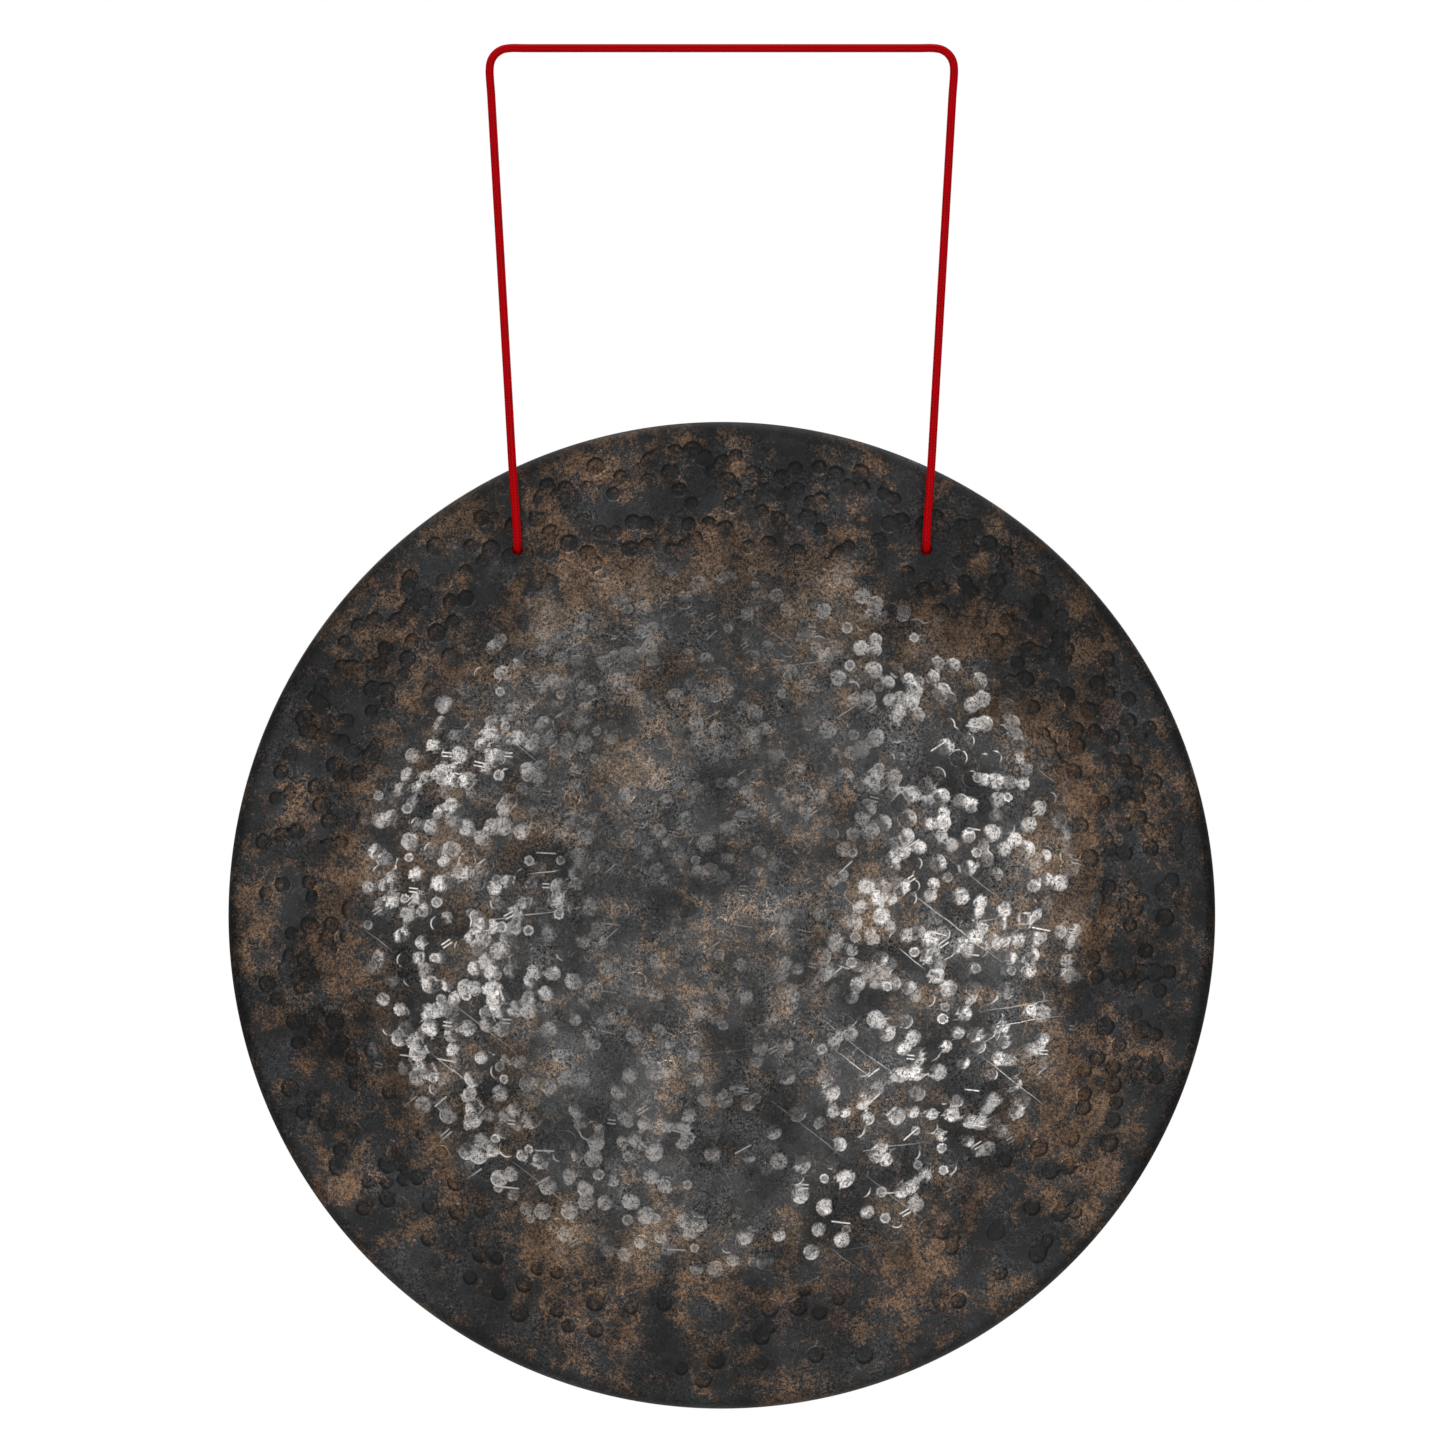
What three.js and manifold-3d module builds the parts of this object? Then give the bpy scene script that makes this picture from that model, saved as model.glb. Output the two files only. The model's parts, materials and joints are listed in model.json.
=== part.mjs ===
// Tam tam gong on its suspension cord, in millimetres, +Z up.
// The face looks towards -Y and the back, inside the turned rim, towards +Y.
// The origin is the middle of the cord's top run, where a stand's hooks or bar would hold it.
//
// The gong is one sheet of hammered bronze: a face that is nearly flat in its middle and curves back
// ever more towards a shoulder, an outer ring that falls straight back from the shoulder, and a rim
// that is turned straight back. It hangs on one cord. The cord runs along
// the top, comes down in front of the gong on both sides, goes back through a hole in the ring on
// each side and is held there by a stopper knot with a short tail.

import * as THREE from 'three';
import { mergeVertices } from 'three/addons/utils/BufferGeometryUtils.js';
import Module from 'manifold-3d';

// ---- Gong: overall sizes -------------------------------------------------------------------
const gongRadius = 300;
const shoulderRadius = 217.5; // where the domed face meets the outer ring
const domeDepth = 10; // how far the face falls back from its middle to the shoulder
const ringSlope = THREE.MathUtils.degToRad(11); // the ring falls back by this angle
const bendRadius = 8; // outside radius of the turn from the ring into the rim
const rimLength = 16; // the straight stretch of rim behind that turn

// ---- Gong: sheet thickness, hammered thinner towards the rim --------------------------------
const faceThickness = 2.2;
const ringThickness = 1.8;
const rimThickness = 1.6;

// ---- Cord and the holes it passes -----------------------------------------------------------
const cordDiameter = 5;
const holeClearance = 1; // all round the cord
const touchGap = 0.3; // left between solids that rest on each other
const holeEdgeDistance = 45.8; // from a hole's middle to the gong's outer edge
const holeHalfSpacing = 123.8; // from the middle plane to a hole
const hangDrop = 302.3; // from the cord's top run down to the holes
const pivotClearance = 1.5; // from a leg's lower end to the stretch that turns into the hole
const knotRadius = 9.2; // across the cord's way through the hole
const knotLength = 11; // along it
const tailDrop = 24; // from the hole down to the tail's cut end

// ---- How finely round shapes are faceted ----------------------------------------------------
const lathePoints = 112;
const domeSteps = 10;
const bendSteps = 4;
const cordSides = 12;
const cordStep = 8; // along the cord
const holeSides = 32;

// Middle of the cord from the right end of the top run and round the corner.
// The left side mirrors it.
const cornerRoute = [
  [118, 0, 0],
  [128.4, 0, 0],
  [133, 0, -0.9],
  [136.9, 0, -3.5],
  [139.5, 0, -7.4],
  [140.4, 0, -12.3],
];
// Below the corner a leg hangs straight to its hole, with points at these shares of its length.
const legShares = [0.06, 0.2, 0.36, 0.52, 0.68, 0.84, 1];

// ---- Values that follow from the sizes above ------------------------------------------------
const cordRadius = cordDiameter / 2;
const holeRadius = cordRadius + holeClearance;
const holeCircleRadius = gongRadius - holeEdgeDistance;
// The cord bears on the upper side of the hole, so the hole's middle lies a little below it.
const holeZ = -hangDrop - (holeRadius - cordRadius - touchGap);
const gongCentreZ = holeZ - Math.sqrt(holeCircleRadius ** 2 - holeHalfSpacing ** 2);
// The legs hang in the plane y = 0 and touch the face of the ring at the holes.
const faceY = cordRadius + touchGap - faceDepth(holeCircleRadius);
// The turn into the rim starts where the ring meets an arc that ends straight back at the edge.
const bendCentreRadius = gongRadius - bendRadius;
const bendStartRadius = bendCentreRadius + bendRadius * Math.sin(ringSlope);
const bendCentreDepth = faceDepth(bendStartRadius) + bendRadius * Math.cos(ringSlope);
const rimDepth = bendCentreDepth + rimLength;

const wasm = await Module();
wasm.setup();

const bronze = new THREE.MeshStandardMaterial({ color: 0x5a5350, roughness: 0.45, metalness: 0.9 });
const redCord = new THREE.MeshStandardMaterial({ color: 0xa3121c, roughness: 0.85, metalness: 0 });

// Depth of the front surface behind the middle of the face, at a radius on the face or the ring.
// The face's curve steepens outwards and runs into the ring without a crease.
function faceDepth(radius) {
  if (radius > shoulderRadius) {
    return domeDepth + (radius - shoulderRadius) * Math.tan(ringSlope);
  }
  const steepening = Math.tan(ringSlope) * shoulderRadius / domeDepth;
  return domeDepth * (radius / shoulderRadius) ** steepening;
}

// Thickness of the sheet, measured along Y, at a radius on the face or the ring.
function sheetThickness(radius) {
  if (radius <= shoulderRadius) {
    return faceThickness + (ringThickness - faceThickness) * (radius / shoulderRadius) ** 2;
  }
  const share = (radius - shoulderRadius) / (bendStartRadius - shoulderRadius);
  return ringThickness + (rimThickness - ringThickness) * share;
}

// Section of the sheet: out along the front, round the bend, to the rim's rear edge and back.
function sheetOutline() {
  const bendAngle = Math.PI / 2 - ringSlope;
  const front = [];
  const back = [];
  for (let i = 0; i <= domeSteps; i += 1) {
    const radius = (shoulderRadius * i) / domeSteps;
    front.push(new THREE.Vector2(radius, faceDepth(radius)));
    back.push(new THREE.Vector2(radius, faceDepth(radius) + sheetThickness(radius)));
  }
  const bendCentre = new THREE.Vector2(bendCentreRadius, bendCentreDepth);
  for (let i = 0; i <= bendSteps; i += 1) {
    const angle = -bendAngle * (1 - i / bendSteps);
    const outward = new THREE.Vector2(Math.cos(angle), Math.sin(angle));
    front.push(bendCentre.clone().addScaledVector(outward, bendRadius));
    back.push(bendCentre.clone().addScaledVector(outward, bendRadius - rimThickness));
  }
  front.push(new THREE.Vector2(gongRadius, rimDepth));
  back.push(new THREE.Vector2(gongRadius - rimThickness, rimDepth));
  return [...front, ...back.reverse()];
}

// A closed geometry as a solid that can be joined or cut.
function toSolid(geometry) {
  const bare = geometry.clone();
  bare.deleteAttribute('normal');
  bare.deleteAttribute('uv');
  const merged = mergeVertices(bare);
  const index = merged.index.array;
  const corners = [];
  for (let i = 0; i < index.length; i += 3) {
    const [a, b, c] = [index[i], index[i + 1], index[i + 2]];
    if (a !== b && b !== c && c !== a) {
      corners.push(a, b, c);
    }
  }
  return new wasm.Manifold(new wasm.Mesh({
    numProp: 3,
    vertProperties: merged.attributes.position.array,
    triVerts: Uint32Array.from(corners),
  }));
}

// A solid as a named mesh of the assembly.
function toMesh(name, solid, material) {
  const { vertProperties, triVerts } = solid.getMesh();
  const geometry = new THREE.BufferGeometry();
  geometry.setAttribute('position', new THREE.BufferAttribute(new Float32Array(vertProperties), 3));
  geometry.setIndex(new THREE.BufferAttribute(new Uint32Array(triVerts), 1));
  geometry.computeVertexNormals();
  const mesh = new THREE.Mesh(geometry, material);
  mesh.name = name;
  return mesh;
}

// The hammered sheet with its two cord holes, drilled straight back through the ring.
function gongPlate() {
  let sheet = toSolid(new THREE.LatheGeometry(sheetOutline(), lathePoints));
  for (const side of [-1, 1]) {
    const drill = new THREE.CylinderGeometry(holeRadius, holeRadius, 2 * rimDepth, holeSides);
    drill.translate(side * holeHalfSpacing, rimDepth / 2, holeZ - gongCentreZ);
    sheet = sheet.subtract(toSolid(drill));
  }
  const mesh = toMesh('gong_plate', sheet, bronze);
  mesh.position.set(0, faceY, gongCentreZ);
  return mesh;
}

// A stretch of cord along a route of points.
function cordTube(points, steps) {
  const section = new THREE.Shape();
  for (let i = 0; i < cordSides; i += 1) {
    const angle = (2 * Math.PI * i) / cordSides;
    const [across, along] = [cordRadius * Math.cos(angle), cordRadius * Math.sin(angle)];
    if (i === 0) {
      section.moveTo(across, along);
    } else {
      section.lineTo(across, along);
    }
  }
  const route = points.map(([x, y, z]) => new THREE.Vector3(x, y, z));
  const extrudePath = route.length === 2
    ? new THREE.LineCurve3(...route)
    : new THREE.CatmullRomCurve3(route, false, 'centripetal');
  const stepCount = steps ?? Math.ceil(extrudePath.getLength() / cordStep);
  return new THREE.ExtrudeGeometry(section, { steps: stepCount, extrudePath });
}

// The straight run that a stand carries, between the two corners.
function cordTopRun() {
  const endX = cornerRoute[0][0] - touchGap;
  const run = cordTube([[-endX, 0, 0], [endX, 0, 0]]);
  return toMesh('cord_top_run', toSolid(run), redCord);
}

// A corner and the leg below it, down to just above the stretch that turns into the hole.
function cordLeg(name, side) {
  const [topX, , topZ] = cornerRoute.at(-1);
  const wholeDrop = hangDrop + topZ;
  const drop = wholeDrop - cordRadius - pivotClearance;
  const straight = legShares.map((share) => {
    const x = topX + (holeHalfSpacing - topX) * (share * drop) / wholeDrop;
    return [x, 0, topZ - share * drop];
  });
  const points = [...cornerRoute, ...straight].map(([x, y, z]) => [side * x, y, z]);
  return toMesh(name, toSolid(cordTube(points)), redCord);
}

// The stretch through the hole, the stopper knot behind the ring and the tail that hangs from it.
function cordKnot(name, side) {
  const backOfRing = cordRadius + touchGap + sheetThickness(holeCircleRadius);
  // The ring's slope lifts its back surface towards the knot on the outer side.
  const slopeRise = knotRadius * Math.tan(ringSlope) / 4;
  const knotY = backOfRing + slopeRise + touchGap + knotLength / 2;

  const frontY = -cordRadius + touchGap;
  const throughHole = cordTube([[0, frontY, 0], [0, knotY, 0]], 1);
  const ball = new THREE.SphereGeometry(knotRadius, 20, 12);
  ball.scale(1, knotLength / 2 / knotRadius, 1);
  ball.translate(0, knotY, 0);
  const tailY = knotY + knotLength / 4;
  const tail = cordTube([[0, tailY, 0], [0, tailY, -tailDrop]], 1);

  const knot = toSolid(throughHole).add(toSolid(ball)).add(toSolid(tail));
  const mesh = toMesh(name, knot, redCord);
  mesh.position.set(side * holeHalfSpacing, 0, -hangDrop);
  return mesh;
}

const gong = new THREE.Group();
gong.add(gongPlate());
gong.add(cordKnot('cord_left_knot', -1));
gong.add(cordKnot('cord_right_knot', 1));

const suspension = new THREE.Group();
suspension.add(cordTopRun());
suspension.add(cordLeg('cord_left_leg', -1));
suspension.add(cordLeg('cord_right_leg', 1));

const assembly = new THREE.Group();
assembly.add(gong, suspension);

export default assembly;
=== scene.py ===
import json
import math

import bpy
import numpy as np
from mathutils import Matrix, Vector

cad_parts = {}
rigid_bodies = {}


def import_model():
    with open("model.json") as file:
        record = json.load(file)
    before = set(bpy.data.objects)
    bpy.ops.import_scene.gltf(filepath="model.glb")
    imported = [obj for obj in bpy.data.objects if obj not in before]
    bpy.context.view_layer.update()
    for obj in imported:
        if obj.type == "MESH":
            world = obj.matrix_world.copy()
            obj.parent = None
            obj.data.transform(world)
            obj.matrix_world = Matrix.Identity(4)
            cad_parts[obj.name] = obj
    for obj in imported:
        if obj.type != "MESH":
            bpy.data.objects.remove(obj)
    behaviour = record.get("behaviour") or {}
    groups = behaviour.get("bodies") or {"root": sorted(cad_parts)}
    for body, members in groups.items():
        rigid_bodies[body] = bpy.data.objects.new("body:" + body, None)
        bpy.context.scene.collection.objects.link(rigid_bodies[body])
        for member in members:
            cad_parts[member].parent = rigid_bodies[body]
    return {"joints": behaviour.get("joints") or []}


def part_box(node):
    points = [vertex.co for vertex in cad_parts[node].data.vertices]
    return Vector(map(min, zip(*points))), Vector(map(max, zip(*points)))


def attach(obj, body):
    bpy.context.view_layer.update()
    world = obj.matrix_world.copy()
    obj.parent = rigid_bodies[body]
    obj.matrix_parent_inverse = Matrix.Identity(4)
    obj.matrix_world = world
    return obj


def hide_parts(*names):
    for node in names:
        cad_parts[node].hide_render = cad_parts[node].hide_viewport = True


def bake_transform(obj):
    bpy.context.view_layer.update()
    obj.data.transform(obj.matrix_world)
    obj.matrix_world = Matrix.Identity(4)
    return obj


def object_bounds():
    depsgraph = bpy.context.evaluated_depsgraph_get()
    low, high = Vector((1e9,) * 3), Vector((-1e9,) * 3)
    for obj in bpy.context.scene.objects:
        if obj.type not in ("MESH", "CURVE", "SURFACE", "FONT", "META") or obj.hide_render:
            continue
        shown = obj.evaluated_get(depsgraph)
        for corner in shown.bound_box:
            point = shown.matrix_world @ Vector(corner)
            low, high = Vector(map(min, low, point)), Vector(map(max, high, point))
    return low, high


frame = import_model()
cad_low, cad_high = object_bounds()
bpy.ops.object.select_all(action="DESELECT")

# ---- Camera ------------------------------------------------------------------------------------
# Square in front of the gong, far enough back that its rim stays hidden behind its face, with the
# whole cord in view.
VIEW_WIDTH = 0.8745
VIEW_DISTANCE = 3.4
VIEW_ACROSS = 0.0004
VIEW_HEIGHT = -0.4081
FILM_WIDTH = 36.0

bpy.ops.object.camera_add(
    location=(VIEW_ACROSS, -VIEW_DISTANCE, VIEW_HEIGHT), rotation=(math.pi / 2, 0, 0)
)
camera = bpy.context.object
camera.data.sensor_width = FILM_WIDTH
camera.data.lens = FILM_WIDTH * VIEW_DISTANCE / VIEW_WIDTH
bpy.context.scene.camera = camera

# ---- Suspension cord ---------------------------------------------------------------------------
# One length of fine-braided red cord. It runs level over a stand's hooks, hangs down in front of
# the gong on both sides, turns back through a hole in the ring and ends in a stopper knot with a
# short tail behind it.
CORD_THICK = 0.005
CORD_SIDES = 16
RING_SPACING = 0.0016
tilt_axis = next(j for j in frame["joints"] if j["name"] == "gong_tilt")["pos_m"]
HANG_DROP = -tilt_axis[2]
knot_low, knot_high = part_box("cord_right_knot")
HOLE_X = (knot_low.x + knot_high.x) / 2

# Middle of the cord from the top run round the right corner, then at shares of the straight leg.
CORNER_ROUTE = [
    (0.118, 0, 0),
    (0.1284, 0, 0),
    (0.133, 0, -0.0009),
    (0.1369, 0, -0.0035),
    (0.1395, 0, -0.0074),
    (0.1404, 0, -0.0123),
]
LEG_SHARES = [0.06, 0.2, 0.36, 0.52, 0.68, 0.84]
# From the foot of a leg back through its hole, measured from the hole's middle.
HOLE_ROUTE = [
    (0, 0, 0.0075),
    (0, 0.0003, 0.0042),
    (0, 0.0016, 0.0013),
    (0, 0.0040, 0.0001),
    (-0.0012, 0.0077, 0.0017),
]

# A stopper knot winds twice round the cord's line while it winds three times round its own bend.
KNOT_MIDDLE = 0.01205
KNOT_RADIUS = 0.00525
KNOT_SWAY = 0.00235
KNOT_LIFT = 0.00257
KNOT_TURN = -0.181
KNOT_ENDS = 0.492
KNOT_STEPS = 40
# The tail leaves the knot's middle and hangs down.
TAIL_ROUTE = [
    (0.0007, 0.0154, 0.0031),
    (-0.0006, 0.0187, -0.0014),
    (0, 0.0194, -0.0095),
    (0, 0.0182, -0.0165),
    (0, 0.0176, -0.0240),
]


def knot_route():
    """Points of the knot, measured from the hole's middle, from the hole side to the tail."""
    first = math.pi / 3 + KNOT_ENDS
    points = []
    for step in range(KNOT_STEPS):
        turn = first + (2 * math.pi - 2 * KNOT_ENDS) * step / (KNOT_STEPS - 1)
        out = KNOT_RADIUS + KNOT_SWAY * math.cos(3 * turn)
        around = 2 * turn + KNOT_TURN
        points.append(
            (
                out * math.cos(around),
                KNOT_MIDDLE + KNOT_LIFT * math.sin(3 * turn),
                out * math.sin(around),
            )
        )
    return points


def smooth_line(points, spacing):
    """Points evenly spaced along the smooth curve that passes through all the given points."""
    p = np.array(points, float)
    p = np.vstack([2 * p[0] - p[1], p, 2 * p[-1] - p[-2]])
    fine = []
    for a, b, c, d in zip(p[:-3], p[1:-2], p[2:-1], p[3:]):
        knots = np.cumsum([0] + [np.linalg.norm(q) ** 0.5 for q in (b - a, c - b, d - c)])
        for t in np.linspace(knots[1], knots[2], 24, endpoint=False):
            ab = a + (b - a) * (t - knots[0]) / (knots[1] - knots[0])
            bc = b + (c - b) * (t - knots[1]) / (knots[2] - knots[1])
            cd = c + (d - c) * (t - knots[2]) / (knots[3] - knots[2])
            abc = ab + (bc - ab) * (t - knots[0]) / (knots[2] - knots[0])
            bcd = bc + (cd - bc) * (t - knots[1]) / (knots[3] - knots[1])
            fine.append(abc + (bcd - abc) * (t - knots[1]) / (knots[2] - knots[1]))
    fine = np.array(fine + [p[-2]])
    along = np.concatenate([[0], np.cumsum(np.linalg.norm(np.diff(fine, axis=0), axis=1))])
    at = np.linspace(0, along[-1], int(along[-1] / spacing) + 1)
    return np.stack([np.interp(at, along, fine[:, k]) for k in range(3)], axis=1)


def cord_side_route():
    """The right half of the cord, from the top run to the end of its tail."""
    top = np.array(CORNER_ROUTE[-1])
    foot = np.array((HOLE_X, 0, -HANG_DROP))
    leg = [top + (foot - top) * share for share in LEG_SHARES]
    hole = [foot + np.array(p) for p in HOLE_ROUTE + knot_route() + TAIL_ROUTE]
    return [np.array(p) for p in CORNER_ROUTE] + leg + hole


def tube_mesh(name, line, radius, sides):
    """A closed tube round a line, with its own map: round the cord and along it, in metres."""
    ahead = np.gradient(line, axis=0)
    ahead /= np.linalg.norm(ahead, axis=1)[:, None]
    across = np.cross(ahead[0], (0.3, 1, 0.2))
    rings = []
    for i, forward in enumerate(ahead):
        across = across - forward * (across @ forward)
        across /= np.linalg.norm(across)
        up = np.cross(forward, across)
        angle = np.arange(sides) * 2 * math.pi / sides
        rings.append(
            line[i] + radius * (np.cos(angle)[:, None] * across + np.sin(angle)[:, None] * up)
        )
    # Each cut end is sealed with heat, so it closes in over two short rings.
    for at, out in ((0, -1), (-1, 1)):
        cap = []
        for share, push in ((0.8, 0.25), (0.4, 0.4)):
            cap.append(line[at] + (rings[at] - line[at]) * share + out * ahead[at] * radius * push)
        rings = rings + cap if out > 0 else cap[::-1] + rings
    count = len(rings)
    faces = []
    for i in range(count - 1):
        for j in range(sides):
            k = (j + 1) % sides
            faces.append((i * sides + j, i * sides + k, (i + 1) * sides + k, (i + 1) * sides + j))
    faces.append(tuple(range(sides - 1, -1, -1)))
    faces.append(tuple((count - 1) * sides + j for j in range(sides)))
    mesh = bpy.data.meshes.new(name)
    mesh.from_pydata([tuple(v) for v in np.vstack(rings)], [], faces)
    along = np.concatenate([[0], np.cumsum(np.linalg.norm(np.diff(line, axis=0), axis=1))])
    along = np.concatenate([[along[0]] * 2, along, [along[-1]] * 2])
    uv = mesh.uv_layers.new(name="cord_map")
    girth = 2 * math.pi * radius
    for face in mesh.polygons:
        wraps = any(mesh.loops[i].vertex_index % sides == sides - 1 for i in face.loop_indices)
        for i in face.loop_indices:
            ring, side = divmod(mesh.loops[i].vertex_index, sides)
            if wraps and side == 0:
                side = sides
            uv.data[i].uv = (girth * side / sides, along[ring])
    mesh.update()
    return mesh


right_half = cord_side_route()
left_half = [p * np.array((-1, 1, 1)) for p in right_half]
cord_line = smooth_line(left_half[::-1] + right_half, RING_SPACING)
cord = bpy.data.objects.new(
    "suspension_cord", tube_mesh("suspension_cord", cord_line, CORD_THICK / 2, CORD_SIDES)
)
bpy.context.collection.objects.link(cord)
bpy.context.view_layer.objects.active = cord
cord.select_set(True)
bpy.ops.object.shade_smooth()
cord.select_set(False)


def add_node(tree, kind, inputs=None, **settings):
    """A shader node with its settings, and each input given a value or joined to a socket."""
    made = tree.nodes.new(kind)
    for name, value in settings.items():
        setattr(made, name, value)
    for key, value in (inputs or {}).items():
        if isinstance(value, bpy.types.NodeSocket):
            tree.links.new(value, made.inputs[key])
        else:
            made.inputs[key].default_value = value
    return made


def calc(tree, operation, a, b=0.0, c=0.0, clamp=False):
    """The result of a sum, product or the like of values and sockets."""
    made = add_node(
        tree, "ShaderNodeMath", {0: a, 1: b, 2: c}, operation=operation, use_clamp=clamp
    )
    return made.outputs[0]


def ramp(tree, value, low, high, to_low=0.0, to_high=1.0):
    """A value taken smoothly from one range to another, and held at its ends."""
    made = add_node(
        tree,
        "ShaderNodeMapRange",
        {"Value": value, "From Min": low, "From Max": high, "To Min": to_low, "To Max": to_high},
        interpolation_type="SMOOTHSTEP",
    )
    return made.outputs[0]


def tint(tree, share, first, second, blend="MIX"):
    """Two colours mixed by a share."""
    made = add_node(
        tree,
        "ShaderNodeMix",
        {0: share, 6: first, 7: second},
        data_type="RGBA",
        blend_type=blend,
    )
    return made.outputs[2]


def noise(tree, place, scale, detail=3.0, roughness=0.55, distortion=0.0):
    """Cloudy noise, from 0 to 1, with its scale in lumps per metre."""
    made = add_node(
        tree,
        "ShaderNodeTexNoise",
        {
            "Vector": place,
            "Scale": scale,
            "Detail": detail,
            "Roughness": roughness,
            "Distortion": distortion,
        },
    )
    return made.outputs[0]


def new_material(name):
    """A node material with its tree and shader."""
    material = bpy.data.materials.new(name)
    material.use_nodes = True
    tree = material.node_tree
    shader = next(n for n in tree.nodes if n.type == "BSDF_PRINCIPLED")
    return material, tree, shader


def cord_material():
    """Two sets of fine strands cross at a slant, each a rounded ridge; painted shade darkens the gaps.
    """
    strands_round = 8
    strand_pitch = 0.0036
    girth = math.pi * CORD_THICK
    material, tree, shader = new_material("braided_cord")
    place = add_node(tree, "ShaderNodeUVMap", uv_map="cord_map").outputs[0]
    split = add_node(tree, "ShaderNodeSeparateXYZ", {0: place})
    around = calc(tree, "MULTIPLY", split.outputs[0], strands_round / girth)
    along = calc(tree, "MULTIPLY", split.outputs[1], 1 / strand_pitch)
    rising = calc(tree, "FRACT", calc(tree, "ADD", around, along))
    falling = calc(tree, "FRACT", calc(tree, "SUBTRACT", around, along))
    ridge_up = calc(tree, "SINE", calc(tree, "MULTIPLY", rising, math.pi))
    ridge_down = calc(tree, "SINE", calc(tree, "MULTIPLY", falling, math.pi))
    # Strands go over and under each other by turns.
    over = calc(tree, "SINE", calc(tree, "MULTIPLY", along, 2 * math.pi))
    over = calc(tree, "MULTIPLY_ADD", over, 0.5, 0.5)
    height = calc(tree, "MULTIPLY", ridge_up, over)
    under = calc(tree, "MULTIPLY", ridge_down, calc(tree, "SUBTRACT", 1.0, over))
    height = calc(tree, "MAXIMUM", height, under)
    fibres = noise(tree, place, 3000, 2.0)
    cloudy = noise(tree, place, 60, 3.0)
    shaded_gap_red = (0.24, 0.001, 0.002, 1)
    strand_red = (0.86, 0.001, 0.006, 1)
    faded_red = (0.66, 0.001, 0.005, 1)
    # Painted shade: the colour drops to a deep red in the low gaps between strands.
    colour = tint(tree, ramp(tree, height, 0.1, 0.75), shaded_gap_red, strand_red)
    colour = tint(tree, ramp(tree, cloudy, 0.35, 0.8), colour, faded_red)
    tree.links.new(colour, shader.inputs["Base Color"])
    fuzz = calc(tree, "MULTIPLY_ADD", fibres, 0.25, height)
    bump = add_node(
        tree, "ShaderNodeBump", {"Strength": 0.7, "Distance": 0.00025, "Height": fuzz}
    )
    tree.links.new(bump.outputs[0], shader.inputs["Normal"])
    tree.links.new(ramp(tree, fibres, 0.3, 0.7, 0.6, 0.8), shader.inputs["Roughness"])
    shader.inputs["Specular IOR Level"].default_value = 0.06
    return material


cord.data.materials.append(cord_material())
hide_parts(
    "cord_top_run", "cord_left_leg", "cord_right_leg", "cord_left_knot", "cord_right_knot"
)
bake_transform(cord)

# ---- Gong --------------------------------------------------------------------------------------
# One sheet of tin bronze, hammered to shape: a face that curves back ever more towards its
# shoulder, an outer ring with deep round hammer marks, and a rim turned straight back. Two holes
# are drilled through the ring for the cord.
plate_low, plate_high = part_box("gong_plate")
GONG_RADIUS = (plate_high.x - plate_low.x) / 2
GONG_Z = (plate_low.z + plate_high.z) / 2
FACE_Y = plate_low.y
RIM_Y = plate_high.y
SHOULDER_RADIUS = 0.2175
SHOULDER_DEPTH = 0.010
RING_SLOPE = math.radians(11)
BEND_RADIUS = 0.008
FACE_THICK = 0.0022
RING_THICK = 0.0018
RIM_THICK = 0.0016
EDGE_BEVEL = 0.0003
HOLE_CLEARANCE = 0.001
HOLE_RADIUS = CORD_THICK / 2 + HOLE_CLEARANCE
HOLE_BELOW_CORD = 0.0007
MARKED_RADIUS = 0.285
WAVE_COUNT = 14
WAVE_LENGTH = 0.07
WAVE_HEIGHT = 0.0012
BACK_RELIEF = 0.6
FRONT_CELLS = 248
BACK_CELLS = 130
BEND_STEPS = 6

DRILL_LENGTH = 0.03
DRILL_MIDDLE_Y = 0.004

BEND_CENTRE = GONG_RADIUS - BEND_RADIUS
BEND_START = BEND_CENTRE + BEND_RADIUS * math.sin(RING_SLOPE)


def face_depth(radius):
    """How far the front surface lies behind the middle of the face."""
    steepening = math.tan(RING_SLOPE) * SHOULDER_RADIUS / SHOULDER_DEPTH
    inside = SHOULDER_DEPTH * (np.minimum(radius, SHOULDER_RADIUS) / SHOULDER_RADIUS) ** steepening
    return inside + np.maximum(radius - SHOULDER_RADIUS, 0) * math.tan(RING_SLOPE)


def sheet_thickness(radius):
    """Thickness of the sheet, which is hammered thinner towards the rim."""
    inside = FACE_THICK + (RING_THICK - FACE_THICK) * (radius / SHOULDER_RADIUS) ** 2
    share = (radius - SHOULDER_RADIUS) / (BEND_START - SHOULDER_RADIUS)
    return np.where(radius < SHOULDER_RADIUS, inside, RING_THICK + (RIM_THICK - RING_THICK) * share)


BEND_DEPTH = float(face_depth(BEND_START)) + BEND_RADIUS * math.cos(RING_SLOPE)


def struck(random, count, inner, outer, apart, width, depth, lean, outward, crowding):
    """Hammer strikes at random over a ring, their middles at least a distance apart. Each is its
    middle, half its width, its depth, its lean both ways and a tone of its own. They lean at
    random, and outwards as well."""
    marks = []
    places = np.zeros((0, 2))
    while len(marks) < count:
        radius = math.sqrt(random.uniform(inner**2, outer**2))
        angle = random.uniform(0, 2 * math.pi)
        place = radius * np.array((math.cos(angle), math.sin(angle)))
        if random.uniform() > crowding(place / outer):
            continue
        if len(places) and np.hypot(*(places - place).T).min() < apart:
            continue
        places = np.vstack([places, place])
        marks.append(
            (
                *place,
                random.uniform(*width) / 2,
                random.uniform(*depth),
                *(random.normal(0, lean, 2) + outward * place / radius),
                random.uniform(),
            )
        )
    return marks


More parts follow.
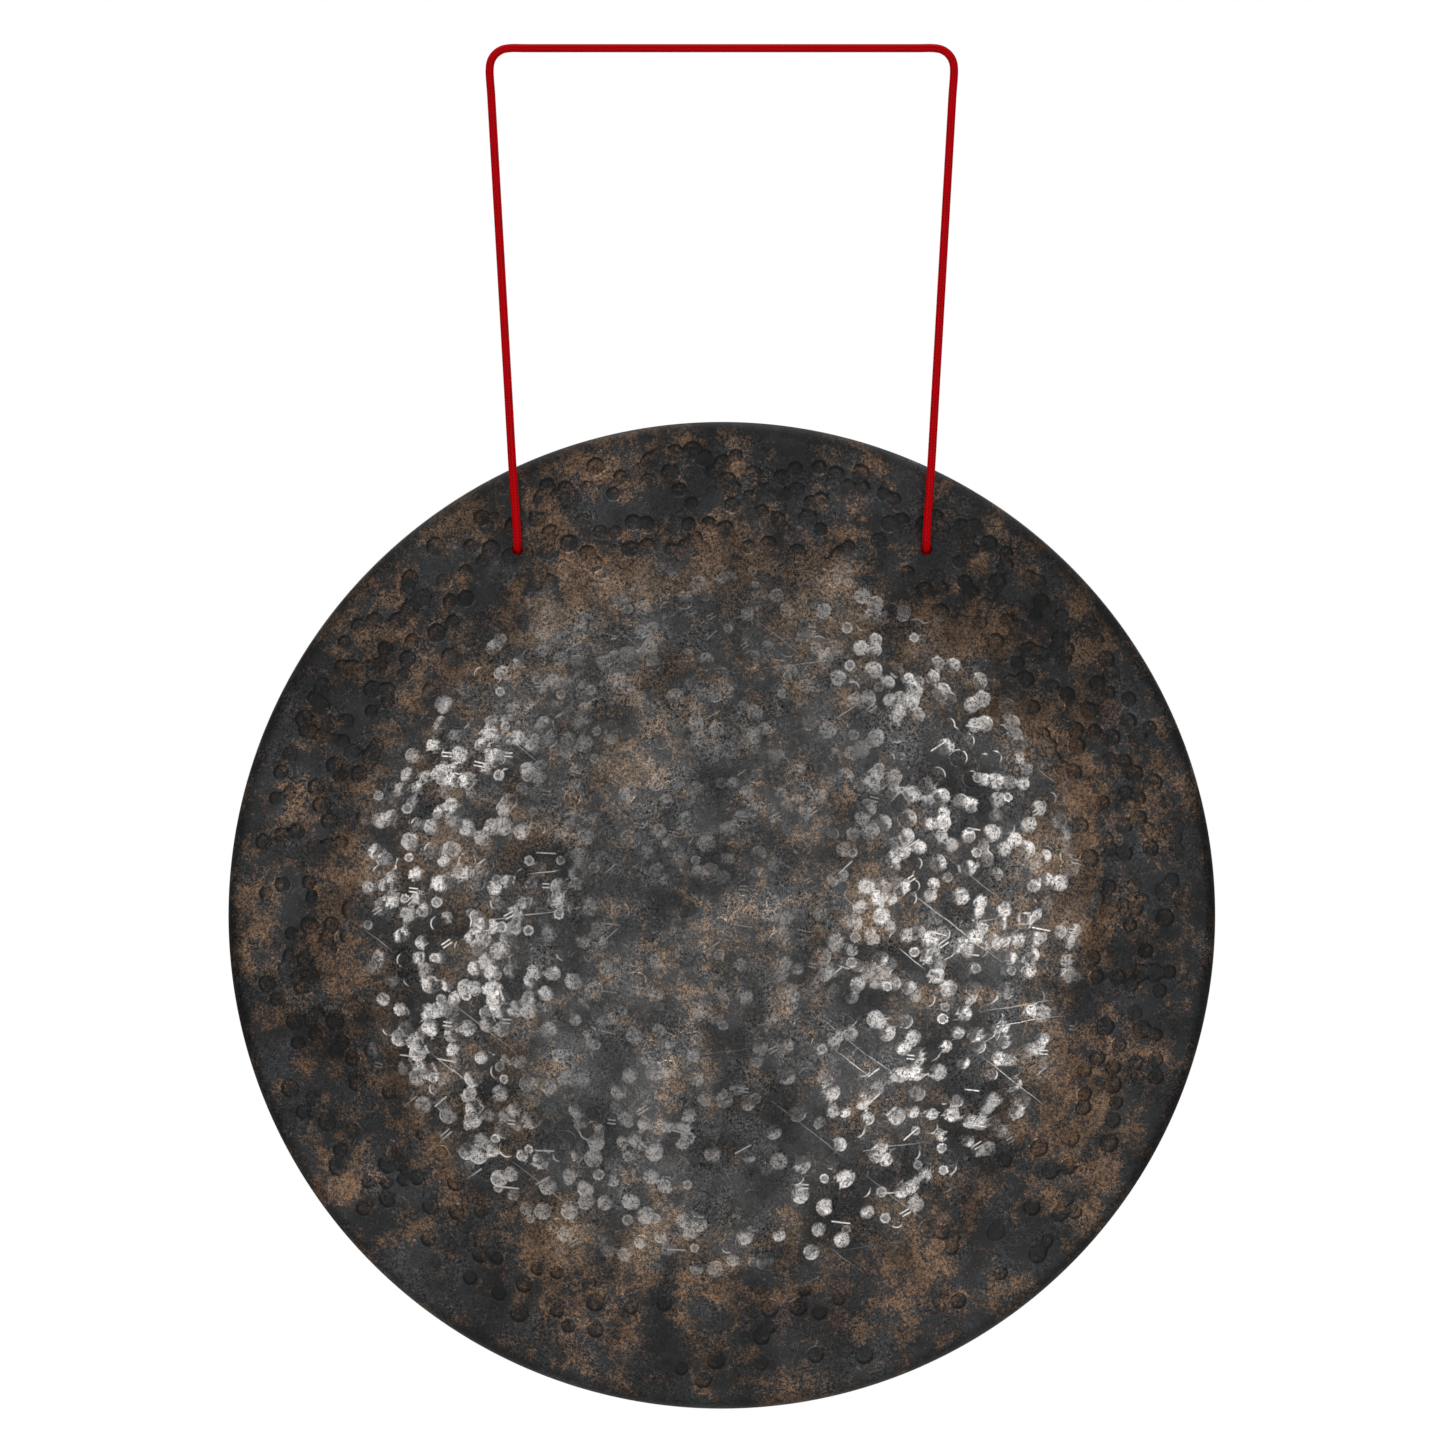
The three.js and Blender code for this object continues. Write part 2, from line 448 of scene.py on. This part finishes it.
def pressed_by(marks, points):
    """How far the strikes press each point back: a flat-bottomed bowl at each, leaning its own way."""
    pressed = np.zeros(len(points))
    for x, z, half, deep, lean_x, lean_z, _ in marks:
        away = points - (x, z)
        near = np.abs(away).max(axis=1) < half
        away = away[near]
        bowl = np.clip(1 - ((away**2).sum(axis=1) / half**2) ** 1.5, 0, 1)
        pressed[near] = np.maximum(pressed[near], bowl * (deep + away @ (lean_x, lean_z)))
    return pressed


def nearest_mark(marks, points, reach=0.006):
    """How far each point is outside the nearest strike's edge, less than nothing inside it, that
    strike's tone, and how far towards its outer side the point lies, from -1 to 1."""
    outside = np.full(len(points), reach)
    tone = np.zeros(len(points))
    side = np.zeros(len(points))
    for x, z, half, _, _, _, own_tone in marks:
        away = points - (x, z)
        near = np.flatnonzero(np.abs(away).max(axis=1) < half + reach)
        distance = np.hypot(*away[near].T) - half
        closer = distance < outside[near]
        nearest = near[closer]
        outside[nearest] = distance[closer]
        tone[nearest] = own_tone
        side[nearest] = away[nearest] @ (x, z) / (math.hypot(x, z) * half)
    return outside, tone, side


def soft_waves(points, seed, length, height):
    """The slow unevenness that hammering leaves in a sheet, pressed back only."""
    random = np.random.default_rng(seed)
    total = np.zeros(len(points))
    for _ in range(WAVE_COUNT):
        heading = random.uniform(0, 2 * math.pi)
        wave = length * random.uniform(0.6, 1.7)
        along = points @ np.array((math.cos(heading), math.sin(heading)))
        total += np.sin(2 * math.pi * along / wave + random.uniform(0, 2 * math.pi))
    return height * (0.5 + total / WAVE_COUNT)


def mostly_above(place):
    """The ring was hammered hardest over its upper half and its sides."""
    least = 0.22
    return least + (1 - least) * min(max(0.62 + 0.75 * place[1], 0), 1)


def mostly_flanks(place):
    """The face was planished most towards its left and right flanks."""
    least = 0.38
    return least + (1 - least) * min(max((abs(place[0]) - 0.25) / 0.3, 0), 1)


def evenly(place):
    """The back was hammered alike all over."""
    return 1.0


strikes = np.random.default_rng(24)
ring_marks = struck(
    strikes,
    count=430,
    inner=0.222,
    outer=0.284,
    apart=0.0066,
    width=(0.0088, 0.0122),
    depth=(0.00035, 0.00065),
    lean=0.02,
    outward=0.055,
    crowding=mostly_above,
)
face_marks = struck(
    strikes,
    count=980,
    inner=0.0,
    outer=0.214,
    apart=0.0060,
    width=(0.0078, 0.0116),
    depth=(0.00012, 0.00032),
    lean=0.055,
    outward=0.0,
    crowding=mostly_flanks,
)
own_back_marks = struck(
    np.random.default_rng(51),
    count=420,
    inner=0.0,
    outer=0.275,
    apart=0.012,
    width=(0.016, 0.022),
    depth=(0.0002, 0.0005),
    lean=0.01,
    outward=0.0,
    crowding=evenly,
)


def relief(points):
    """How far the hammered front lies behind its smooth shape, at points measured from its middle."""
    edge_fade = np.clip((MARKED_RADIUS - np.hypot(*points.T)) / 0.02, 0, 1)
    waves = edge_fade * soft_waves(points, 7, WAVE_LENGTH, WAVE_HEIGHT)
    return pressed_by(ring_marks + face_marks, points) + waves


def on_disc(mesh, outer):
    """Moves a square grid's points onto a disc, each square of cells becoming a ring, and returns
    them measured from the gong's middle."""
    grid = np.zeros(len(mesh.vertices) * 3)
    mesh.vertices.foreach_get("co", grid)
    u, v = grid.reshape(-1, 3)[:, :2].T
    wide = np.abs(u) >= np.abs(v)
    reach = np.where(wide, u, v)
    safe = np.where(reach == 0, 1, reach)
    quarter = math.pi / 4
    angle = np.where(wide, quarter * v / safe, math.pi / 2 - quarter * u / safe)
    return outer * reach[:, None] * np.stack([np.cos(angle), np.sin(angle)], axis=1)


def lay_out(mesh, points, depth):
    """Gives a mesh its points on the gong: across and up as measured, and back by a depth."""
    place = np.stack([points[:, 0], FACE_Y + depth, GONG_Z + points[:, 1]], axis=1)
    mesh.vertices.foreach_set("co", place.astype(np.float32).ravel())
    mesh.update()


def select_open_edges():
    """Selects the open edges of the edited sheet."""
    bpy.ops.mesh.select_mode(type="EDGE")
    bpy.ops.mesh.select_all(action="DESELECT")
    bpy.ops.mesh.select_non_manifold(
        extend=False, use_wire=False, use_multi_face=False, use_non_contiguous=False, use_verts=False
    )


def turn_edge(radii_and_depths, radius, depth):
    """Extrudes the open edge of the edited sheet from ring to ring."""
    select_open_edges()
    for next_radius, next_depth in radii_and_depths:
        bpy.ops.mesh.extrude_region_move()
        share = next_radius / radius
        bpy.ops.transform.resize(value=(share, 1, share), center_override=(0, 0, GONG_Z))
        bpy.ops.transform.translate(value=(0, next_depth - depth, 0))
        radius, depth = next_radius, next_depth


def bend_rings(radius, steps):
    """Radii and depths of the turn into the rim, from the ring outwards."""
    rings = []
    for step in range(1, steps + 1):
        angle = -(math.pi / 2 - RING_SLOPE) * (1 - step / steps)
        rings.append((BEND_CENTRE + radius * math.cos(angle), BEND_DEPTH + radius * math.sin(angle)))
    return rings


RIM_DEPTH = RIM_Y - FACE_Y

# The front: face, ring, turn and rim.
bpy.ops.mesh.primitive_grid_add(x_subdivisions=FRONT_CELLS, y_subdivisions=FRONT_CELLS, size=2)
gong = bpy.context.object
gong.name = "hammered_gong"
spots = on_disc(gong.data, BEND_START)
lay_out(gong.data, spots, face_depth(np.hypot(*spots.T)) + relief(spots))
bpy.ops.object.mode_set(mode="EDIT")
turn_edge(
    bend_rings(BEND_RADIUS, BEND_STEPS)
    + [
        (GONG_RADIUS, (BEND_DEPTH + RIM_DEPTH) / 2),
        (GONG_RADIUS, RIM_DEPTH - EDGE_BEVEL),
        (GONG_RADIUS - EDGE_BEVEL, RIM_DEPTH),
        (GONG_RADIUS - RIM_THICK + EDGE_BEVEL, RIM_DEPTH),
    ],
    BEND_START,
    float(face_depth(BEND_START)),
)
bpy.ops.object.mode_set(mode="OBJECT")
gong.select_set(False)

# The back: the same sheet seen from inside the rim, where each deep mark shows as a low swelling.
bpy.ops.mesh.primitive_grid_add(x_subdivisions=BACK_CELLS, y_subdivisions=BACK_CELLS, size=2)
inside = bpy.context.object
spots = on_disc(inside.data, BEND_START)
out = np.hypot(*spots.T)
back = face_depth(out) + sheet_thickness(out) + BACK_RELIEF * relief(spots)
lay_out(inside.data, spots, back - pressed_by(own_back_marks, spots))
bpy.ops.object.mode_set(mode="EDIT")
bpy.ops.mesh.select_all(action="SELECT")
bpy.ops.mesh.flip_normals()
turn_edge(
    bend_rings(BEND_RADIUS - RIM_THICK, BEND_STEPS - 2)
    + [(GONG_RADIUS - RIM_THICK, RIM_DEPTH - EDGE_BEVEL)],
    BEND_START,
    float(face_depth(BEND_START) + RIM_THICK),
)
bpy.ops.object.mode_set(mode="OBJECT")

# Both meet at the rim's rear edge.
gong.select_set(True)
bpy.context.view_layer.objects.active = gong
bpy.ops.object.join()
bpy.ops.object.mode_set(mode="EDIT")
select_open_edges()
bpy.ops.mesh.bridge_edge_loops()
bpy.ops.mesh.select_all(action="SELECT")
bpy.ops.mesh.normals_make_consistent(inside=False)
bpy.ops.object.mode_set(mode="OBJECT")

# The two cord holes are drilled together.
bpy.ops.object.select_all(action="DESELECT")
for side in (-1, 1):
    bpy.ops.mesh.primitive_cylinder_add(
        vertices=48,
        radius=HOLE_RADIUS,
        depth=DRILL_LENGTH,
        location=(side * HOLE_X, DRILL_MIDDLE_Y, -HANG_DROP - HOLE_BELOW_CORD),
        rotation=(math.pi / 2, 0, 0),
    )
    bpy.context.object.name = "drill"
drills = [o for o in bpy.data.objects if o.name.startswith("drill")]
for drill in drills:
    drill.select_set(True)
bpy.ops.object.join()
drill = bpy.context.object
cut = gong.modifiers.new("cord_holes", "BOOLEAN")
cut.operation = "DIFFERENCE"
cut.solver = "EXACT"
cut.object = drill
bpy.context.view_layer.objects.active = gong
bpy.ops.object.modifier_apply(modifier="cord_holes")
bpy.data.objects.remove(drill)

bpy.ops.object.select_all(action="DESELECT")
gong.select_set(True)
bpy.ops.object.transform_apply(location=True, rotation=True, scale=True)
bpy.ops.object.shade_smooth_by_angle(angle=math.radians(50))

# The finish follows the strikes, so the sheet carries how each point lies to the nearest one, and
# which points are on its front.
count = len(gong.data.vertices)
place = np.zeros(count * 3)
facing = np.zeros(count * 3)
gong.data.vertices.foreach_get("co", place)
gong.data.vertices.foreach_get("normal", facing)
place = place.reshape(-1, 3)
in_front = facing.reshape(-1, 3)[:, 1] < 0
flat_place = np.stack([place[:, 0], place[:, 2] - GONG_Z], axis=1)
front_marks = nearest_mark(ring_marks + face_marks, flat_place)
back_marks = nearest_mark(own_back_marks, flat_place)
finish_values = {"in_front": in_front}
for name, ahead, behind in zip(("mark_edge", "mark_tone", "mark_side"), front_marks, back_marks):
    finish_values[name] = np.where(in_front, ahead, behind)
for name, values in finish_values.items():
    layer = gong.data.attributes.new(name, "FLOAT", "POINT")
    layer.data.foreach_set("value", values.astype(np.float32))


def product(tree, first, *others):
    """The product of several values and sockets."""
    for other in others:
        first = calc(tree, "MULTIPLY", first, other)
    return first


def largest(tree, first, *others):
    """The largest of several values and sockets."""
    for other in others:
        first = calc(tree, "MAXIMUM", first, other)
    return first


def scaled(tree, value, factor, offset):
    """A value multiplied by a factor, with an offset added."""
    return calc(tree, "MULTIPLY_ADD", value, factor, offset)


def length_of(tree, vector):
    """The length of a vector."""
    made = add_node(tree, "ShaderNodeVectorMath", {0: vector}, operation="LENGTH")
    return made.outputs["Value"]


def carried(tree, name):
    """A value that the mesh carries at each of its points."""
    return add_node(tree, "ShaderNodeAttribute", attribute_name=name).outputs["Fac"]


def scattered_cells(tree, flat, cells, seed, stretch=(1, 1), turn=0.0):
    """Cells scattered over the sheet: the way from each cell's middle, in metres, and three chances
    of its own. The cells may be stretched and turned."""
    turned = add_node(
        tree, "ShaderNodeMapping", {"Vector": flat, "Rotation": (0, 0, turn)}
    ).outputs[0]
    moved = add_node(
        tree,
        "ShaderNodeMapping",
        {"Vector": turned, "Location": (seed, -seed, 0), "Scale": (*stretch, 1)},
    ).outputs[0]
    cell = add_node(
        tree,
        "ShaderNodeTexVoronoi",
        {"Vector": moved, "Scale": cells, "Randomness": 1.0},
        voronoi_dimensions="2D",
        feature="F1",
    )
    away = add_node(
        tree, "ShaderNodeVectorMath", {0: moved, 1: cell.outputs["Position"]}, operation="SUBTRACT"
    ).outputs[0]
    away = add_node(
        tree,
        "ShaderNodeVectorMath",
        {0: away, 1: (1 / stretch[0], 1 / stretch[1], 1)},
        operation="MULTIPLY",
    ).outputs[0]
    chance = add_node(tree, "ShaderNodeSeparateColor", {0: cell.outputs["Color"]})
    return away, chance.outputs[0], chance.outputs[1], chance.outputs[2]


def small_rings(tree, flat, ragged):
    """Small rings, 5 mm across, that a punch's edge leaves: a bright band, half bright inside."""
    cells_per_metre = 52
    share_with_ring = 0.34
    away, chosen, strength, size = scattered_cells(tree, flat, cells_per_metre, 0.31)
    half = ramp(tree, size, 0.0, 1.0, 0.0021, 0.0027)
    distance = calc(tree, "MULTIPLY_ADD", ragged, 1.6, length_of(tree, away))
    beyond = calc(tree, "SUBTRACT", distance, half)
    band = ramp(tree, calc(tree, "ABSOLUTE", beyond), 0.0003, 0.0010, 1.0, 0.0)
    middle = ramp(tree, beyond, -0.0002, 0.0002, 0.42, 0.0)
    ring = largest(tree, band, middle)
    present = calc(tree, "LESS_THAN", chosen, share_with_ring)
    return product(tree, ring, present, ramp(tree, strength, 0.0, 0.6, 0.35, 1.0))


def short_strokes(tree, flat):
    """Short straight nicks, a millimetre wide and up to 12 mm long. Half of them lie nearly level
    and half slant up to the right."""
    cells_per_metre = 50
    share_with_nick = 0.24
    half_gap = 0.0011
    away, chosen, turn, long = scattered_cells(tree, flat, cells_per_metre, 0.77)
    slanting = product(tree, calc(tree, "GREATER_THAN", turn, 0.5), 0.5)
    angle = calc(tree, "ADD", scaled(tree, turn, 0.5, -0.26), slanting)
    cosine = calc(tree, "COSINE", angle)
    sine = calc(tree, "SINE", angle)
    split = add_node(tree, "ShaderNodeSeparateXYZ", {0: away})
    across, up = split.outputs[0], split.outputs[1]
    forward = calc(tree, "MULTIPLY_ADD", up, sine, product(tree, across, cosine))
    aside = calc(tree, "SUBTRACT", product(tree, up, cosine), product(tree, across, sine))
    reach = ramp(tree, long, 0.0, 1.0, 0.0025, 0.0062)
    past_end = calc(tree, "SUBTRACT", calc(tree, "ABSOLUTE", forward), reach)
    ends = ramp(tree, past_end, -0.0008, 0.0002, 1.0, 0.0)
    # Half of them are pairs of lines side by side.
    apart = product(tree, calc(tree, "LESS_THAN", long, 0.5), half_gap)
    off = calc(tree, "ABSOLUTE", calc(tree, "SUBTRACT", calc(tree, "ABSOLUTE", aside), apart))
    sides = ramp(tree, off, 0.0002, 0.0007, 1.0, 0.0)
    return product(tree, ends, sides, calc(tree, "LESS_THAN", chosen, share_with_nick))


def long_scratches(tree, flat, seed, slant):
    """Long fine scratches that all lean much the same way, from years of handling."""
    cells_per_metre = (11, 55)
    share_with_scratch = 0.22
    away, chosen, strength, long = scattered_cells(
        tree, flat, 1, seed, cells_per_metre, math.radians(slant)
    )
    split = add_node(tree, "ShaderNodeSeparateXYZ", {0: away})
    reach = ramp(tree, long, 0.0, 1.0, 0.010, 0.045)
    share = calc(tree, "DIVIDE", calc(tree, "ABSOLUTE", split.outputs[0]), reach)
    ends = ramp(tree, share, 0.3, 1.0, 1.0, 0.0)
    wander = scaled(tree, noise(tree, flat, 45, 2.0), 0.003, -0.0015)
    off = calc(tree, "ABSOLUTE", calc(tree, "ADD", split.outputs[1], wander))
    sides = ramp(tree, off, 0.00015, 0.0005, 1.0, 0.0)
    present = calc(tree, "LESS_THAN", chosen, share_with_scratch)
    return product(tree, ends, sides, present, strength)


def cloudy_factor(tree, place, scale, low, high):
    """Broad darker and lighter clouds, as a factor between the two given."""
    return ramp(tree, noise(tree, place, scale, 4.0, 0.6), 0.35, 0.65, low, high)


def bronze_material():
    """Oxidised bronze: slate grey with brown patches and a fine speckle all over, near black and dull
    on the ring, worn barer on the face, where the strikes are burnished. Bare metal gets painted
    highlight on the face's flanks; the ring's dents and the edge round the bend get painted shade."""
    dull_grey = (0.037, 0.038, 0.040, 1)
    dull_brown = (0.150, 0.093, 0.058, 1)
    bare_grey = (0.078, 0.078, 0.079, 1)
    bare_brown = (0.160, 0.117, 0.085, 1)
    bright_metal = (0.83, 0.79, 0.76, 1)
    material, tree, shader = new_material("oxidised_bronze")
    coords = add_node(tree, "ShaderNodeTexCoord").outputs["Object"]
    place = add_node(
        tree, "ShaderNodeMapping", {"Vector": coords, "Location": (0, 0, -GONG_Z)}
    ).outputs[0]
    split = add_node(tree, "ShaderNodeSeparateXYZ", {0: place})
    across, up = split.outputs[0], split.outputs[2]
    flat = add_node(tree, "ShaderNodeCombineXYZ", {0: across, 1: up, 2: 0.0}).outputs[0]
    radius = length_of(tree, flat)

    # The worn face ends raggedly at the shoulder.
    uneven = scaled(tree, noise(tree, place, 22, 4.0, 0.6), 0.05, -0.025)
    worn = ramp(tree, calc(tree, "ADD", radius, uneven), 0.203, 0.230, 1.0, 0.0)
    worn = product(tree, worn, carried(tree, "in_front"))

    # Patina: large patches of brown in slate grey, more at the shoulder, then blotches, then
    # speckle, which is strong in some places and nearly absent in others.
    patches = noise(tree, place, 16, 6.0, 0.66, 0.4)
    blotches = noise(tree, place, 75, 5.0, 0.68, 0.2)
    speckle = noise(tree, place, 640, 3.0, 0.72, 0.9)
    grain = noise(tree, place, 1500, 1.0, 0.6)
    shoulder = product(
        tree, ramp(tree, radius, 0.17, 0.215), ramp(tree, radius, 0.225, 0.25, 1.0, 0.0)
    )
    brown = scaled(tree, patches, 0.48, product(tree, blotches, 0.52))
    brown = calc(tree, "ADD", brown, scaled(tree, speckle, 0.34, -0.17))
    brown = ramp(tree, scaled(tree, shoulder, 0.045, brown), 0.490, 0.615)
    dull = tint(tree, brown, dull_grey, dull_brown)
    bare = tint(tree, brown, bare_grey, bare_brown)
    colour = tint(tree, worn, dull, bare)
    busy = ramp(tree, noise(tree, place, 48, 4.0, 0.65), 0.40, 0.62)
    busy = largest(tree, busy, product(tree, brown, 0.8))
    strong = ramp(tree, speckle, 0.34, 0.68, 0.20, 2.3)
    weak = ramp(tree, speckle, 0.3, 0.7, 0.70, 1.15)
    shade = product(
        tree,
        scaled(tree, calc(tree, "SUBTRACT", strong, weak), busy, weak),
        ramp(tree, grain, 0.3, 0.7, 0.75, 1.25),
        cloudy_factor(tree, place, 9, 0.66, 1.30),
        cloudy_factor(tree, place, 34, 0.68, 1.32),
        # Painted shade: darker round the bend at the edge, standing in for a dark outline.
        ramp(tree, radius, 0.289, 0.2975, 1.0, 0.55),
    )

    # The ring's dents keep their black oxide inside, and some of them more; the dark arc along their
    # deepest, outer side is painted shade.
    ragged = scaled(tree, noise(tree, place, 900, 2.0), 0.0014, -0.0007)
    edge = carried(tree, "mark_edge")
    tone = carried(tree, "mark_tone")
    side = carried(tree, "mark_side")
    ragged_edge = calc(tree, "ADD", edge, ragged)
    struck_here = ramp(tree, ragged_edge, -0.0005, 0.0002, 1.0, 0.0)
    lip = ramp(tree, ragged_edge, -0.0030, -0.0006)
    # Painted shade: a dark arc just inside each dent's outer edge.
    painted_crescent_shade = product(tree, lip, ramp(tree, side, -0.1, 0.7))
    oxide_and_shade = product(
        tree,
        struck_here,
        scaled(tree, painted_crescent_shade, 0.55, 0.45),
        ramp(tree, tone, 0.0, 0.5, 0.45, 1.0),
        ramp(tree, worn, 0.0, 1.0, 1.0, 0.0),
    )
    shade = product(tree, shade, ramp(tree, oxide_and_shade, 0.0, 1.0, 1.0, 0.10))
    # Here and there a dent's inner lip gets a thin painted highlight.
    painted_lip_highlight = product(
        tree,
        ramp(tree, calc(tree, "ABSOLUTE", edge), 0.0001, 0.0007, 1.0, 0.0),
        ramp(tree, side, -0.9, -0.4, 1.0, 0.0),
        ramp(tree, noise(tree, place, 40, 1.0), 0.50, 0.62),
    )
    shade = scaled(tree, product(tree, painted_lip_highlight, shade), 1.6, shade)
    grey = add_node(tree, "ShaderNodeCombineXYZ", {0: shade, 1: shade, 2: shade}).outputs[0]
    colour = tint(tree, 1.0, colour, grey, "MULTIPLY")

    # Burnished strikes, their edges, small rings, nicks and scratches show bare metal through a
    # speckle of oxide. Painted highlight puts most of it on the face's two flanks and lower down.
    half_moon = scaled(tree, calc(tree, "FRACT", product(tree, tone, 7)), 1.6, side)
    flats = product(
        tree,
        struck_here,
        ramp(tree, tone, 0.22, 0.70, 0.0, 1.0),
        ramp(tree, half_moon, 0.0, 0.6, 0.16, 1.0),
        ramp(tree, speckle, 0.34, 0.58, 0.12, 1.0),
        ramp(tree, noise(tree, place, 120, 2.0), 0.36, 0.54, 0.45, 1.0),
    )
    inside_edge = calc(tree, "ABSOLUTE", calc(tree, "ADD", edge, 0.0004))
    arcs = product(
        tree,
        ramp(tree, inside_edge, 0.0002, 0.0006, 1.0, 0.0),
        ramp(tree, side, 0.1, 0.7),
        ramp(tree, noise(tree, place, 70, 1.0), 0.50, 0.60, 0.0, 0.8),
    )
    glints = ramp(tree, speckle, 0.36, 0.54, 0.22, 1.0)
    rings = product(tree, small_rings(tree, flat, ragged), glints)
    level = long_scratches(tree, flat, 3.3, -8)
    slanting = long_scratches(tree, flat, 7.9, 38)
    lines = product(
        tree,
        largest(tree, short_strokes(tree, flat), level, slanting),
        ramp(tree, speckle, 0.30, 0.50, 0.35, 1.0),
    )
    cuts = largest(tree, rings, lines)
    # Painted highlight: bare metal is weighted to the left and right flanks and the lower face, where
    # the side soft boxes are mirrored.
    wavering = scaled(tree, noise(tree, place, 16, 4.0), 0.17, -0.085)
    sideways = calc(tree, "ADD", across, wavering)
    below = largest(tree, product(tree, up, -1.0), 0.0)
    right = ramp(tree, scaled(tree, below, 0.40, sideways), 0.035, 0.130)
    left = ramp(tree, product(tree, sideways, -1.0), 0.070, 0.155)
    elsewhere = ramp(tree, below, 0.05, 0.19, 0.20, 0.50)
    painted_highlight_flanks = largest(tree, calc(tree, "ADD", right, left, clamp=True), elsewhere)
    burnish_and_highlight = product(tree, largest(tree, flats, arcs, cuts), worn, painted_highlight_flanks)
    colour = tint(tree, burnish_and_highlight, colour, bright_metal)
    tree.links.new(colour, shader.inputs["Base Color"])

    tree.links.new(ramp(tree, worn, 0.0, 1.0, 0.55, 0.9), shader.inputs["Metallic"])
    rough = scaled(tree, burnish_and_highlight, -0.20, ramp(tree, worn, 0.0, 1.0, 0.52, 0.50))
    rough = calc(tree, "ADD", rough, scaled(tree, speckle, 0.2, -0.1))
    tree.links.new(rough, shader.inputs["Roughness"])

    # Relief finer than the sheet's own shape: the strikes' crisp edges, the nicks and the grain.
    step = ramp(tree, ragged_edge, -0.0012, 0.0001, 1.0, 0.0)
    height = product(tree, step, ramp(tree, worn, 0.0, 1.0, -0.00036, -0.00018))
    for detail, depth in ((cuts, -0.00010), (speckle, 0.00013), (grain, 0.00004)):
        height = scaled(tree, detail, depth, height)
    bump = add_node(tree, "ShaderNodeBump", {"Strength": 1.0, "Distance": 1.0, "Height": height})
    tree.links.new(bump.outputs[0], shader.inputs["Normal"])
    return material


gong.data.materials.clear()
gong.data.materials.append(bronze_material())
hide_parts("gong_plate")
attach(gong, "gong")

# ---- Floor -------------------------------------------------------------------------------------
# A plain pale floor below the hanging gong, which fades out towards its edge.
FLOOR_DROP = 0.125
FLOOR_RADIUS = 0.69
FADE_FROM = 0.25
FADE_TO = 0.97 * FLOOR_RADIUS
bpy.ops.object.select_all(action="DESELECT")
bpy.ops.mesh.primitive_circle_add(
    vertices=128, radius=FLOOR_RADIUS, fill_type="NGON", location=(0, 0, cad_low.z - FLOOR_DROP)
)
floor = bpy.context.object
floor.name = "floor"
floor_paint, floor_tree, floor_shader = new_material("pale_floor")
floor_place = add_node(floor_tree, "ShaderNodeTexCoord").outputs["Object"]
floor_cloud = noise(floor_tree, floor_place, 6, 3.0)
floor_tree.links.new(
    tint(floor_tree, floor_cloud, (0.86, 0.86, 0.85, 1), (0.90, 0.90, 0.89, 1)),
    floor_shader.inputs["Base Color"],
)
floor_shader.inputs["Roughness"].default_value = 0.7
floor_out = add_node(
    floor_tree, "ShaderNodeVectorMath", {0: floor_place}, operation="LENGTH"
).outputs["Value"]
floor_tree.links.new(
    ramp(floor_tree, floor_out, FADE_FROM, FADE_TO, 1.0, 0.0), floor_shader.inputs["Alpha"]
)
floor.data.materials.append(floor_paint)

# ---- Light -------------------------------------------------------------------------------------
# Two soft boxes stand to the left and right of the camera, where the outer parts of the curved
# face mirror them, and two more light the back. The room looks white behind the gong, lights it
# from overhead and a little from underfoot, and is dark in between.
BOX_DISTANCE = 2.6
gong_middle = Vector((0, 0, GONG_Z))


def soft_box(name, azimuth, elevation, width, height, brightness):
    """A soft box that faces the gong from a bearing: 0 in front, 90 to the right, 180 behind."""
    turn, lift = math.radians(azimuth), math.radians(elevation)
    heading = Vector(
        (math.sin(turn) * math.cos(lift), -math.cos(turn) * math.cos(lift), math.sin(lift))
    )
    bpy.ops.object.light_add(type="AREA", location=gong_middle + heading * BOX_DISTANCE)
    light = bpy.context.object
    light.name = name
    light.rotation_euler = heading.to_track_quat("Z", "Y").to_euler()
    light.data.shape = "RECTANGLE"
    light.data.size = width
    light.data.size_y = height
    light.data.energy = brightness * math.pi * width * height
    light.visible_camera = False


soft_box("left_box", -18, 3, width=0.73, height=1.1, brightness=3.2)
soft_box("right_box", 16, -7, width=0.92, height=1.3, brightness=3.0)
for name, azimuth in (("back_left_box", 205), ("back_right_box", 155)):
    soft_box(name, azimuth, 20, width=1.0, height=1.2, brightness=1.6)

world = bpy.data.worlds.new("studio")
bpy.context.scene.world = world
world.use_nodes = True
world_tree = world.node_tree
world_tree.nodes.clear()
way = add_node(world_tree, "ShaderNodeTexCoord").outputs["Generated"]
rise = add_node(world_tree, "ShaderNodeSeparateXYZ", {0: way}).outputs[2]
overhead = ramp(world_tree, rise, 0.45, 0.95, 0.17, 1.30)
underfoot = ramp(world_tree, rise, -0.75, -0.2, 0.18, 0.0)
room = calc(world_tree, "ADD", overhead, underfoot)
seen = add_node(world_tree, "ShaderNodeBackground", {"Color": (1, 1, 1, 1), "Strength": 1.0})
around = add_node(world_tree, "ShaderNodeBackground", {"Color": (1, 1, 1, 1), "Strength": room})
ray = add_node(world_tree, "ShaderNodeLightPath")
mixed = add_node(
    world_tree,
    "ShaderNodeMixShader",
    {0: ray.outputs["Is Camera Ray"], 1: around.outputs[0], 2: seen.outputs[0]},
)
add_node(world_tree, "ShaderNodeOutputWorld", {0: mixed.outputs[0]})
bpy.context.scene.view_settings.view_transform = "Standard"
